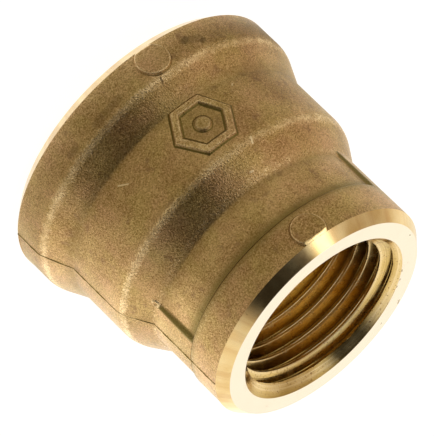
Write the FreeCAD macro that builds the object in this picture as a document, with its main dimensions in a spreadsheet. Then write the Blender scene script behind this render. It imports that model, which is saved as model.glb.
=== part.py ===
import FreeCAD, Part
import os

import Sketcher

# Reducing coupling: a one-piece brass casting that joins a large pipe to a small one.
#
# Frame: +Z runs along the pipe axis from the large end to the small end. The origin is the
# centre of the large end's flat face, which is the face the coupling stands on. The mould
# parts on the XZ plane and the marked side of the casting looks towards -Y; right is +X and
# left is -X, as seen from the marked side. Millimetres.
#
# The outer form and the inside form are turned shapes. The casting is cut from them in bands,
# one for each collar, barrel and machined ring; the two threads, the pipe stop and the small
# cast details are pieces of their own that meet the bands face to face.

VECTOR = FreeCAD.Vector

doc = FreeCAD.newDocument("ReducingCoupling")

# --- Driving dimensions -----------------------------------------------------------------------

DIMENSIONS = [
    ("overall_length", 30.5, "large face to small face"),
    # large end
    ("large_collar_radius", 17.6, "outside of the large collar"),
    ("large_chamfer", 1.2, "machined 45 degree chamfer round the large face"),
    ("large_collar_land", 4.8, "height where the large collar starts to slope in"),
    ("large_collar_foot", 8.5, "height where the slope meets the large barrel"),
    ("large_barrel_radius", 15.95, "outside of the large barrel"),
    ("shoulder_top", 16.1, "height where the shoulder starts to slope in"),
    ("shoulder_foot", 20.0, "height where the shoulder meets the small barrel"),
    # small end
    ("small_barrel_radius", 13.6, "outside of the small barrel"),
    ("small_collar_foot", 25.0, "height of the step up to the small collar"),
    ("small_step_height", 0.25, "height over which that step rises"),
    ("small_collar_radius", 13.95, "outside of the small collar"),
    ("small_chamfer_height", 1.2, "machined chamfer round the small face, along the axis"),
    ("small_chamfer_width", 0.95, "the same chamfer, across the face"),
    # rounded edges and roots of the cast outside
    ("collar_edge_rounding", 2.0, "outer edge of the large collar"),
    ("collar_foot_rounding", 0.8, "root of the large collar's slope"),
    ("shoulder_edge_rounding", 3.0, "outer edge of the shoulder"),
    ("shoulder_foot_rounding", 0.9, "root of the shoulder's slope"),
    # where one band of the casting ends and the next begins
    ("collar_joint", 8.75, "large collar to large barrel"),
    ("barrel_joint", 14.9, "large barrel to shoulder"),
    ("shoulder_joint", 20.8, "shoulder to small barrel"),
    # pipe threads: G 3/4 in the large end, G 1/2 in the small end, both 14 turns to the inch
    ("thread_pitch", 1.814, "one turn"),
    ("thread_form_height", 1.1616, "crest to root"),
    ("thread_flat", 0.302, "flat on the crest and in the root"),
    ("flank_slope", 0.5206, "tangent of the 27.5 degree flank angle"),
    ("groove_overrun", 0.3, "how far the cutting form stands inside the crests"),
    ("large_crest_radius", 12.0585, "G 3/4 minor radius"),
    ("large_mouth_radius", 13.6, "outer edge of the large mouth's chamfer"),
    ("large_sleeve_radius", 14.0, "back of the large thread"),
    ("large_thread_depth", 12.5, "large face to the end of the thread"),
    ("small_crest_radius", 9.3155, "G 1/2 minor radius"),
    ("small_mouth_radius", 10.9, "outer edge of the small mouth's chamfer"),
    ("small_sleeve_radius", 11.3, "back of the small thread"),
    ("small_thread_depth", 11.3, "small face to the end of the thread"),
    ("large_groove_start", -1.3, "height of the groove's first turn on the +X side"),
    ("small_groove_start", 17.7, "height of the groove's first turn on the +X side"),
    # inside between the threads
    ("large_relief_radius", 13.3, "plain run-out behind the large thread"),
    ("large_relief_end", 14.9, "height where the inside starts to taper"),
    ("taper_end", 15.8, "height where the taper reaches the stop's back"),
    ("waterway_radius", 8.75, "narrowest way through, at the pipe stop"),
    ("stop_lip", 16.95, "height where the stop's taper reaches the waterway"),
    ("stop_top", 18.0, "height of the stop's small-end face"),
    ("small_relief_radius", 10.7, "plain run-out behind the small thread"),
    # cast details
    ("rib_width", 29.0, "angle that a grip rib takes up, degrees"),
    ("rib_base", 18.5, "height below which a rib is inside the shoulder"),
    ("right_rib_start", -16.0, "angle of the right rib's first flank from +X, degrees"),
    ("left_rib_start", -171.0, "angle of the left rib's first flank from +X, degrees"),
    ("pad_radius", 2.0, "round ejector pads"),
    ("pad_height", 0.3, "how far a pad stands out"),
    ("large_pad_level", 3.0, "height of the large collar's pad"),
    ("small_pad_level", 27.9, "height of the small collar's pad"),
    ("seam_width", 0.3, "flash ridge at the mould joint"),
    ("seam_height", 0.12, "how far the ridge stands out"),
    ("emblem_level", 11.75, "height of the raised mark's centre"),
    ("emblem_turn", 2.0, "angle of the mark from the -Y side, degrees"),
    ("emblem_radius", 3.8, "corner radius of the hexagonal ring"),
    ("emblem_inner_radius", 2.6, "corner radius of its inner edge"),
    ("emblem_dot_radius", 1.0, "round dot in the middle"),
    ("emblem_height", 0.3, "how far the mark stands out"),
    # sizes of cutting shapes, larger than anything they cut
    ("clearance", 1.0, "how far a cutting shape passes a face"),
    ("reach", 20.0, "radius of a cutting shape that takes in the whole outside"),
]

sheet = doc.addObject("Spreadsheet::Sheet", "Sizes")
for row, (alias, value, note) in enumerate(DIMENSIONS, start=1):
    sheet.set(f"A{row}", note)
    sheet.set(f"B{row}", str(value))
    sheet.setAlias(f"B{row}", alias)
doc.recompute()


def size(formula):
    """Turn words such as "stop_top - clearance" into a formula that reads the sheet."""
    words = [f"Sizes.{word}" if word[0].isalpha() else word for word in formula.split()]
    return " ".join(words)


# --- Ways of making a piece -------------------------------------------------------------------

GUESS_RADIUS = 20         # where an outline's corners start, before its sizes place them
SAME_PLACE = 0.01         # two positions closer than this are the same
UNCUT_SHARE = 0.9         # a sleeve that keeps more than this of its metal has no groove


def origin_plane(body, role):
    """One of a body's own origin planes."""
    return next(feature for feature in body.Origin.OriginFeatures if feature.Role == role)


def outline(body, name, corners):
    """A closed outline in the XZ plane; each corner is (formula for the radius, for the height)."""
    sketch = body.newObject("Sketcher::SketchObject", name)
    sketch.AttachmentSupport = [(origin_plane(body, "XZ_Plane"), "")]
    sketch.MapMode = "FlatFace"
    count = len(corners)
    guess = [VECTOR(GUESS_RADIUS + index, index * index, 0) for index in range(count)]
    for index in range(count):
        sketch.addGeometry(Part.LineSegment(guess[index], guess[(index + 1) % count]), False)
    for index in range(count):
        joint = Sketcher.Constraint("Coincident", index, 2, (index + 1) % count, 1)
        sketch.addConstraint(joint)
    for index, (radius, height) in enumerate(corners):
        for direction, formula, start in (("DistanceX", radius, guess[index].x),
                                          ("DistanceY", height, guess[index].y)):
            rule = Sketcher.Constraint(direction, -1, 1, index, 1, start)
            number = sketch.addConstraint(rule)
            sketch.setExpression(f"Constraints[{number}]", size(formula))
    doc.recompute()
    return sketch


def turned(name, corners):
    """A body turned about Z from a closed outline."""
    body = doc.addObject("PartDesign::Body", name)
    sketch = outline(body, f"{name}_outline", corners)
    revolution = body.newObject("PartDesign::Revolution", f"{name}_turned")
    revolution.Profile = sketch
    revolution.ReferenceAxis = (sketch, ["V_Axis"])
    revolution.Angle = 360
    doc.recompute()
    return body


def round_edge(body, radius, level, rounding):
    """Round the circular edge that lies at one radius and height."""
    base = body.Tip
    edges = []
    for number, edge in enumerate(base.Shape.Edges, start=1):
        box = edge.BoundBox
        offsets = (box.ZMin - level, box.ZMax - level, box.XMax - radius)
        if all(abs(offset) < SAME_PLACE for offset in offsets):
            edges.append(f"Edge{number}")
    fillet = body.newObject("PartDesign::Fillet", f"{body.Name}_rounding")
    fillet.Base = (base, edges)
    fillet.setExpression("Radius", size(rounding))
    doc.recompute()


def outer_form(name, grow):
    """The cast outside, grown outwards by a size from the sheet ("0" for the casting itself)."""
    body = turned(name, [
        ("0", "0"),
        (f"large_collar_radius - large_chamfer + {grow}", "0"),
        (f"large_collar_radius + {grow}", "large_chamfer"),
        (f"large_collar_radius + {grow}", "large_collar_land"),
        (f"large_barrel_radius + {grow}", "large_collar_foot"),
        (f"large_barrel_radius + {grow}", "shoulder_top"),
        (f"small_barrel_radius + {grow}", "shoulder_foot"),
        (f"small_barrel_radius + {grow}", "small_collar_foot"),
        (f"small_collar_radius + {grow}", "small_collar_foot + small_step_height"),
        (f"small_collar_radius + {grow}", "overall_length - small_chamfer_height"),
        (f"small_collar_radius - small_chamfer_width + {grow}", "overall_length"),
        ("0", "overall_length"),
    ])
    extra = 0 if grow == "0" else sheet.get(grow)
    rounded = [
        (sheet.large_collar_radius, sheet.large_collar_land, "collar_edge_rounding"),
        (sheet.large_barrel_radius, sheet.large_collar_foot, "collar_foot_rounding"),
        (sheet.large_barrel_radius, sheet.shoulder_top, "shoulder_edge_rounding"),
        (sheet.small_barrel_radius, sheet.shoulder_foot, "shoulder_foot_rounding"),
    ]
    for radius, level, rounding in rounded:
        round_edge(body, radius + extra, level, rounding)
    return body


def cylinder(name, radius, height, level):
    """A round block about Z from one height upwards."""
    block = doc.addObject("Part::Cylinder", name)
    block.setExpression("Radius", size(radius))
    block.setExpression("Height", size(height))
    block.setExpression("Placement.Base.z", size(level))
    return block


def common(name, first, second):
    """What two shapes share."""
    shared = doc.addObject("Part::Common", name)
    shared.Base = first
    shared.Tool = second
    return shared


def joined(name, first, second):
    """Two shapes made into one."""
    whole = doc.addObject("Part::Fuse", name)
    whole.Base = first
    whole.Tool = second
    return whole


def cut(name, base, tool):
    """The first shape with the second taken away."""
    rest = doc.addObject("Part::Cut", name)
    rest.Base = base
    rest.Tool = tool
    return rest


# --- The casting, in bands --------------------------------------------------------------------

casting = outer_form("casting_form", "0")

inside = turned("inside_form", [
    ("0", "0 - clearance"),
    ("large_sleeve_radius", "0 - clearance"),
    ("large_sleeve_radius", "large_thread_depth"),
    ("large_relief_radius", "large_thread_depth"),
    ("large_relief_radius", "large_relief_end"),
    ("small_sleeve_radius", "taper_end"),
    ("small_sleeve_radius", "stop_top"),
    ("small_relief_radius", "stop_top"),
    ("small_relief_radius", "overall_length - small_thread_depth"),
    ("small_sleeve_radius", "overall_length - small_thread_depth"),
    ("small_sleeve_radius", "overall_length + clearance"),
    ("0", "overall_length + clearance"),
])

BANDS = [
    ("large_end_ring", "0", "large_chamfer"),
    ("large_collar", "large_chamfer", "collar_joint"),
    ("large_barrel", "collar_joint", "barrel_joint"),
    ("reducing_shoulder", "barrel_joint", "shoulder_joint"),
    ("small_barrel", "shoulder_joint", "small_collar_foot"),
    ("small_collar", "small_collar_foot", "overall_length - small_chamfer_height"),
    ("small_end_ring", "overall_length - small_chamfer_height", "overall_length"),
]


def band(name, low, high):
    """The part of the casting that lies between two heights."""
    slice_block = cylinder(f"{name}_slice", "reach", f"{high} - ( {low} )", low)
    return cut(name, common(f"{name}_solid", casting, slice_block), inside)


pieces = [band(name, low, high) for name, low, high in BANDS]

pipe_stop = turned("pipe_stop", [
    ("waterway_radius", "stop_lip"),
    ("small_sleeve_radius", "taper_end"),
    ("small_sleeve_radius", "stop_top"),
    ("waterway_radius", "stop_top"),
])
pieces.append(pipe_stop)

# --- The two threads --------------------------------------------------------------------------

SECTORS = 12


def threaded_sleeve(name, corners, crest_radius, groove_start, groove_end):
    """A sleeve built up from equal sectors, with a right-hand groove run through it."""
    body = doc.addObject("PartDesign::Body", name)
    sketch = outline(body, f"{name}_outline", corners)
    sector = body.newObject("PartDesign::Revolution", f"{name}_sector")
    sector.Profile = sketch
    sector.ReferenceAxis = (sketch, ["V_Axis"])
    sector.Angle = 360 / SECTORS
    sector.Refine = False
    doc.recompute()

    ring = body.newObject("PartDesign::PolarPattern", f"{name}_ring")
    ring.Originals = [sector]
    ring.Axis = (sketch, ["V_Axis"])
    ring.Angle = 360
    ring.Occurrences = SECTORS
    ring.Refine = False
    body.Tip = ring
    doc.recompute()

    inner = f"{crest_radius} - groove_overrun"
    root = f"{crest_radius} + thread_form_height"
    wide = "thread_pitch / 2 - thread_flat / 2 + groove_overrun * flank_slope"
    groove_form = outline(body, f"{name}_groove_form", [
        (inner, f"{groove_start} - ( {wide} )"),
        (root, f"{groove_start} - thread_flat / 2"),
        (root, f"{groove_start} + thread_flat / 2"),
        (inner, f"{groove_start} + {wide}"),
    ])
    groove = body.newObject("PartDesign::SubtractiveHelix", f"{name}_groove")
    groove.Profile = groove_form
    groove.ReferenceAxis = (groove_form, ["V_Axis"])
    groove.Mode = "pitch-height-angle"
    groove.setExpression("Pitch", size("thread_pitch"))
    groove.setExpression("Height", size(f"{groove_end} - ( {groove_start} )"))
    groove.LeftHanded = False
    groove.Refine = False
    body.Tip = groove
    doc.recompute()
    if groove.Shape.Volume > UNCUT_SHARE * ring.Shape.Volume:
        raise RuntimeError(f"{name}: the groove missed the sleeve")
    return body


pieces.append(threaded_sleeve(
    "large_end_thread",
    [
        ("large_mouth_radius", "0"),
        ("large_sleeve_radius", "0"),
        ("large_sleeve_radius", "large_thread_depth"),
        ("large_crest_radius", "large_thread_depth"),
        ("large_crest_radius", "large_mouth_radius - large_crest_radius"),
    ],
    "large_crest_radius",
    "large_groove_start",
    "large_thread_depth + thread_pitch",
))

pieces.append(threaded_sleeve(
    "small_end_thread",
    [
        ("small_crest_radius", "overall_length - small_thread_depth"),
        ("small_sleeve_radius", "overall_length - small_thread_depth"),
        ("small_sleeve_radius", "overall_length"),
        ("small_mouth_radius", "overall_length"),
        ("small_crest_radius", "overall_length - small_mouth_radius + small_crest_radius"),
    ],
    "small_crest_radius",
    "small_groove_start",
    "overall_length + thread_pitch",
))

# --- Small cast details -----------------------------------------------------------------------


RIB_LENGTH = "small_collar_foot + small_step_height - rib_base"


def grip_rib(name, start):
    """A lengthwise rib on the small barrel, as high as the small collar."""
    sector = cylinder(f"{name}_sector", "small_collar_radius", RIB_LENGTH, "rib_base")
    sector.setExpression("Angle", size("rib_width"))
    sector.Placement.Rotation = FreeCAD.Rotation(VECTOR(0, 0, 1), sheet.get(start))
    return cut(name, sector, casting)


right_rib = grip_rib("grip_rib_right", "right_rib_start")
pieces.append(right_rib)
pieces.append(grip_rib("grip_rib_left", "left_rib_start"))

# Both collars as high as their pads, with the machined chamfers carried on outwards.
pad_form = turned("pad_form", [
    ("0", "0"),
    ("large_collar_radius - large_chamfer", "0"),
    ("large_collar_radius + pad_height", "large_chamfer + pad_height"),
    ("large_collar_radius + pad_height", "shoulder_top"),
    ("small_collar_radius + pad_height", "shoulder_top"),
    ("small_collar_radius + pad_height",
     "overall_length - small_chamfer_height - pad_height * small_chamfer_height / small_chamfer_width"),
    ("small_collar_radius - small_chamfer_width", "overall_length"),
    ("0", "overall_length"),
])

TOWARDS_FRONT = FreeCAD.Rotation(VECTOR(1, 0, 0), 90)


def ejector_pad(name, level):
    """A round pad on the -Y side of a collar."""
    rod = cylinder(f"{name}_rod", "pad_radius", "reach", level)
    rod.Placement.Rotation = TOWARDS_FRONT
    return cut(name, common(f"{name}_solid", rod, pad_form), casting)


pieces.append(ejector_pad("large_collar_pad", "large_pad_level"))
pieces.append(ejector_pad("small_collar_pad", "small_pad_level"))

# The ridge of flash follows the casting, and on the right it runs over the grip rib.
left_seam_form = outer_form("left_seam_form", "seam_height")
rib_cover = cylinder("rib_cover", "small_collar_radius + seam_height", RIB_LENGTH, "rib_base")
right_seam_form = joined("right_seam_form", left_seam_form, rib_cover)
casting_with_rib = joined("casting_with_rib", casting, right_rib)


def parting_seam(name, side, form, below):
    """The ridge of flash down one side of the casting, where the mould halves met."""
    slab = doc.addObject("Part::Box", f"{name}_slab")
    slab.setExpression("Length", size("reach"))
    slab.setExpression("Width", size("seam_width"))
    slab.setExpression("Height", size("overall_length - small_chamfer_height - large_chamfer"))
    slab.setExpression("Placement.Base.x", size("0" if side > 0 else "0 - reach"))
    slab.setExpression("Placement.Base.y", size("0 - seam_width / 2"))
    slab.setExpression("Placement.Base.z", size("large_chamfer"))
    return cut(name, common(f"{name}_solid", slab, form), below)


pieces.append(parting_seam("parting_seam_right", 1, right_seam_form, casting_with_rib))
pieces.append(parting_seam("parting_seam_left", -1, left_seam_form, casting))


def hexagon_rod(name, radius):
    """A hexagonal rod that points out of the -Y side at the mark's level."""
    rod = doc.addObject("Part::Prism", name)
    rod.Polygon = 6
    rod.setExpression("Circumradius", size(radius))
    rod.setExpression("Height", size("reach"))
    return rod


def raised_emblem(name):
    """A plain mark: a hexagonal ring with a round dot in it, standing on the large barrel."""
    ring = cut(f"{name}_ring", hexagon_rod(f"{name}_outer", "emblem_radius"),
               hexagon_rod(f"{name}_inner", "emblem_inner_radius"))
    dot = doc.addObject("Part::Cylinder", f"{name}_dot")
    dot.setExpression("Radius", size("emblem_dot_radius"))
    dot.setExpression("Height", size("reach"))
    rods = doc.addObject("Part::MultiFuse", f"{name}_rods")
    rods.Shapes = [ring, dot]
    turn = FreeCAD.Rotation(VECTOR(0, 0, 1), sheet.emblem_turn)
    rods.Placement.Rotation = turn.multiply(TOWARDS_FRONT)
    rods.setExpression("Placement.Base.z", size("emblem_level"))
    limit = cylinder(f"{name}_limit", "large_barrel_radius + emblem_height", "overall_length", "0")
    return cut(name, common(f"{name}_solid", rods, limit), casting)


pieces.append(raised_emblem("raised_emblem"))

# --- Check every object and write the pieces --------------------------------------------------

doc.recompute()
for thing in doc.Objects:
    if "Invalid" in thing.State or "Error" in thing.State:
        raise RuntimeError(f"{thing.Name} did not build: {thing.State}")

os.makedirs("parts", exist_ok=True)
for piece in pieces:
    piece.Label = piece.Name
    shape = piece.Shape
    if shape.isNull() or not shape.isValid() or shape.Volume <= 0:
        raise RuntimeError(f"{piece.Label} has no sound solid")
    shape.exportStep(f"parts/{piece.Label}.step")
    box = shape.optimalBoundingBox()
    print(f"{piece.Label:20s} {len(shape.Solids)} solid(s) {shape.Volume:9.2f} mm3"
          f"  z {box.ZMin:6.2f} to {box.ZMax:6.2f}  radius {box.XMax:6.2f}")
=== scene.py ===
from math import atan2, ceil, cos, degrees, exp, hypot, pi, radians, sin, tan, tau

import bmesh
import bpy
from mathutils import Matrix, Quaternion, Vector


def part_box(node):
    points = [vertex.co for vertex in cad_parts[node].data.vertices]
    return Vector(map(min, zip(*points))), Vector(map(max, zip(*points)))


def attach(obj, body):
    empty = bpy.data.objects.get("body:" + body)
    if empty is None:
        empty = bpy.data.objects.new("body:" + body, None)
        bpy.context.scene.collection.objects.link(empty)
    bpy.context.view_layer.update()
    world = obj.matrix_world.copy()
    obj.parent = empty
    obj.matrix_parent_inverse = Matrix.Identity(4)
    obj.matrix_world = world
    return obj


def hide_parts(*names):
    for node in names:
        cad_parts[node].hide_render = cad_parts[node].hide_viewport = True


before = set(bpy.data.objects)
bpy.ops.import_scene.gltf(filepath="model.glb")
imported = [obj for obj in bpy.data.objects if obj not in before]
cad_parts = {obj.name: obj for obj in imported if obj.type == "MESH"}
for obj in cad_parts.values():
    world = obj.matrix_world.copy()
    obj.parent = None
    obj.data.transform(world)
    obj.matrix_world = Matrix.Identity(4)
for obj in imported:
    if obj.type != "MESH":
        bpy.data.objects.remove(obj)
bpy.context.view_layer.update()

# A reducing coupling: one brass casting with turned ends. +Z runs from the large end to the
# small end, the mould parts on the XZ plane and the marked side looks towards -Y. The casting
# is built as turned bands that meet where the CAD nodes meet; the cast details stand on them.

MM = 0.001


# --- Sizes, in millimetres ---


def low(name):
    """Lowest height of a CAD node."""
    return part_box(name)[0].z / MM


def high(name):
    """Highest height of a CAD node."""
    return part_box(name)[1].z / MM


def outer(name):
    """Largest radius of a CAD node that goes all the way round."""
    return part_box(name)[1].y / MM


LENGTH = high("small_end_ring")

LARGE_COLLAR = outer("large_collar")
LARGE_BARREL = outer("large_barrel")
SMALL_BARREL = outer("small_barrel")
SMALL_COLLAR = outer("small_collar")

# Heights along the outside, from the large face up.
LARGE_CHAMFER = high("large_end_ring")
COLLAR_LAND = 4.8
COLLAR_FOOT = 8.5
SHOULDER_TOP = 16.1
SHOULDER_FOOT = 20.0
STEP_FOOT = low("small_collar")
STEP_RISE = 0.25
SMALL_EDGE = low("small_end_ring")
SMALL_CHAMFER = LENGTH - SMALL_EDGE
SMALL_CHAMFER_WIDTH = 0.95

# Heights where one band of the casting meets the next.
COLLAR_JOINT = high("large_collar")
BARREL_JOINT = high("large_barrel")
SHOULDER_JOINT = high("reducing_shoulder")

# The bore: the threads' sleeves, the reliefs behind them, the taper's end and the pipe stop.
LARGE_SLEEVE = outer("large_end_thread")
SMALL_SLEEVE = outer("small_end_thread")
LARGE_THREAD_END = high("large_end_thread")
SMALL_THREAD_END = low("small_end_thread")
LARGE_RELIEF = 13.3
SMALL_RELIEF = 10.7
TAPER_END = low("pipe_stop")
WATERWAY = 8.75
STOP_LIP = 16.95
STOP_TOP = high("pipe_stop")

# Pipe threads, 14 turns to the inch.
PITCH = 1.814
THREAD_HEIGHT = 1.1616
THREAD_FLAT = 0.302
LARGE_CREST = 12.0585
LARGE_MOUTH = 13.6
SMALL_CREST = 9.3155
SMALL_MOUTH = 10.9
LARGE_GROOVE_START = -1.3
SMALL_GROOVE_START = 17.7
ROOT_ROOM = 0.05          # clearance outside the thread's root

TURN_STEPS = 576          # steps round a turned piece
THREAD_STEPS = 360        # steps round a thread
PITCH_STEPS = 36          # steps along a thread in each pitch
SURFACE_STEP = 0.2        # length of a step along the outside
INSIDE_STEP = 0.6
RING_STEP = 0.1
STOP_STEP = 0.3
WELD = 0.002              # points nearer than this are one point
SINK = 0.12               # how deep a cast detail reaches into the casting


# --- Node trees ---


def live(sockets, title=None):
    """The socket in use, of all or of those that share a title."""
    return next(s for s in sockets if s.enabled and title in (None, s.name))


class Nodes:
    """Adds nodes to a tree. An input is given as a socket to link, a plain value, or None."""

    def __init__(self, tree):
        self.tree = tree

    def __call__(self, kind, *values, **settings):
        """A new node: inputs in their order, then properties and inputs by name."""
        node = self.tree.nodes.new(kind)
        named = {}
        for key, value in settings.items():
            if hasattr(node, key):
                setattr(node, key, value)
            else:
                named[key.replace("_", " ")] = value
        for socket, value in zip(node.inputs, values):
            self.give(socket, value)
        for title, value in named.items():
            self.give(live(node.inputs, title), value)
        return node

    def give(self, socket, value):
        """Links a socket to an input or sets the input's value; colours are opaque."""
        if isinstance(value, bpy.types.NodeSocket):
            self.tree.links.new(value, socket)
        elif value is not None:
            socket.default_value = (*value, 1.0) if socket.type == "RGBA" else value

    def math(self, operation, *values, clamp=False):
        node = self("ShaderNodeMath", *values, operation=operation)
        node.use_clamp = clamp
        return node.outputs[0]

    def plus(self, first, second):
        return self.math("ADD", first, second)

    def minus(self, first, second):
        return self.math("SUBTRACT", first, second)

    def times(self, first, second, clamp=False):
        return self.math("MULTIPLY", first, second, clamp=clamp)

    def over(self, first, second):
        return self.math("DIVIDE", first, second)

    def size(self, value):
        """A number without its sign."""
        return self.math("ABSOLUTE", value)

    def held(self, value, lowest, highest):
        """A number kept between two others."""
        return self.math("MINIMUM", self.math("MAXIMUM", value, lowest), highest)

    def mix(self, factor, first, second):
        """Between two numbers."""
        return self.math("MULTIPLY_ADD", self.minus(second, first), factor, first)

    def swayed(self, level, noise, amount, middle=0.5):
        """A level moved up and down by noise."""
        return self.math("MULTIPLY_ADD", self.minus(noise, middle), amount, level)

    def ramp(self, value, low_in, high_in, low_out=0.0, high_out=1.0):
        """Maps a number smoothly from one range to another, held at both ends."""
        return self("ShaderNodeMapRange", value, low_in, high_in, low_out, high_out,
                    interpolation_type="SMOOTHSTEP").outputs[0]

    def vector(self, operation, *values, **settings):
        """What a vector operation gives: a number for a length or a product."""
        return live(self("ShaderNodeVectorMath", *values, operation=operation, **settings).outputs)

    def axis(self, vector, title):
        return self("ShaderNodeSeparateXYZ", vector).outputs[title]

    def noise(self, place, scale, detail=2.0, roughness=0.5):
        """Noise in space."""
        return self("ShaderNodeTexNoise", place, Scale=scale, Detail=detail,
                    Roughness=roughness).outputs[0]

    def streaks(self, distance, scale, detail):
        """Noise along one distance."""
        return self("ShaderNodeTexNoise", None, distance, noise_dimensions="1D", Scale=scale,
                    Detail=detail).outputs[0]

    def below(self, value, limit):
        return self("FunctionNodeCompare", value, limit, operation="LESS_THAN").outputs[0]

    def chosen(self, test, otherwise, value):
        """One number or, where the test holds, the other."""
        return self("GeometryNodeSwitch", test, otherwise, value, input_type="FLOAT").outputs[0]


SOCKET_KINDS = {int: "NodeSocketInt", float: "NodeSocketFloat", type(None): "NodeSocketMaterial"}


def geometry_tree(name, inputs):
    """A geometry tree with named inputs and their defaults; also its node adder and inputs."""
    tree = bpy.data.node_groups.new(name, "GeometryNodeTree")
    tree.interface.new_socket("Geometry", in_out="INPUT", socket_type="NodeSocketGeometry")
    tree.interface.new_socket("Geometry", in_out="OUTPUT", socket_type="NodeSocketGeometry")
    for title, default in inputs.items():
        kind = SOCKET_KINDS[type(default)]
        socket = tree.interface.new_socket(title, in_out="INPUT", socket_type=kind)
        if default is not None:
            socket.default_value = default
    add = Nodes(tree)
    return tree, add, add("NodeGroupInput").outputs


def finish_tree(add, geometry, material, sharp_angle):
    """Shades smooth up to an angle, sets the material and ends the tree."""
    welded = add("GeometryNodeMergeByDistance", geometry, Distance=WELD * MM).outputs[0]
    smooth = add("GeometryNodeSetShadeSmooth", welded, None, True, domain="FACE").outputs[0]
    angle = add("GeometryNodeInputMeshEdgeAngle").outputs["Unsigned Angle"]
    sharp = add("FunctionNodeCompare", angle, sharp_angle, operation="GREATER_THAN").outputs[0]
    shaded = add("GeometryNodeSetShadeSmooth", smooth, sharp, False, domain="EDGE").outputs[0]
    real = add("GeometryNodeRealizeInstances", shaded).outputs[0]
    made = add("GeometryNodeSetMaterial", real, None, material).outputs[0]
    add("NodeGroupOutput", made)


def radial_position(add, radius, angle, height):
    """The point at a radius, an angle about Z and a height."""
    east = add.times(radius, add.math("COSINE", angle))
    north = add.times(radius, add.math("SINE", angle))
    return add("ShaderNodeCombineXYZ", east, north, height).outputs[0]


def across_axis(add, place):
    """The part of a place that is square to the axis."""
    return add("ShaderNodeCombineXYZ", add.axis(place, "X"), add.axis(place, "Y"), 0.0).outputs[0]


def wrapped_grid(add, steps_round, rows):
    """A grid to wrap about the axis: its mesh, its points' rows and their part of a turn."""
    columns = add.plus(steps_round, 1)
    grid = add("GeometryNodeMeshGrid", 1.0, 1.0, columns, rows).outputs["Mesh"]
    index = add("GeometryNodeInputIndex").outputs[0]
    row = add.math("FLOORED_MODULO", index, rows)
    column = add.math("FLOOR", add.over(add.plus(index, 0.5), rows))
    return grid, row, add.over(column, steps_round)


def stored(add, geometry, title, value):
    """The geometry with a number kept on each point."""
    return add("GeometryNodeStoreNamedAttribute", geometry, Name=title, Value=value,
               data_type="FLOAT", domain="POINT").outputs[0]


def turned_tree():
    """Turns a closed outline, given as a string of points in the XZ plane, about Z."""
    tree, add, given = geometry_tree("turned_outline", {
        "Steps Round": TURN_STEPS,
        "Points": 10,
        "Sharp Angle": radians(30),
        "Material": None,
    })
    turned, row, turn = wrapped_grid(add, given["Steps Round"], add.plus(given["Points"], 1))
    point = add.math("FLOORED_MODULO", row, given["Points"])

    def sampled(value, kind):
        return live(add("GeometryNodeSampleIndex", data_type=kind, domain="POINT",
                        Geometry=given["Geometry"], Value=value, Index=point).outputs)

    place = sampled(add("GeometryNodeInputPosition").outputs[0], "FLOAT_VECTOR")
    angle = add.times(turn, tau)
    place = radial_position(add, add.axis(place, "X"), angle, add.axis(place, "Z"))
    for title in ("skin", "edge", "root"):
        reader = add("GeometryNodeInputNamedAttribute", title, data_type="FLOAT").outputs[0]
        turned = stored(add, turned, title, sampled(reader, "FLOAT"))
    turned = add("GeometryNodeSetPosition", turned, None, place).outputs[0]
    finish_tree(add, turned, given["Material"], given["Sharp Angle"])
    return tree


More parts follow.
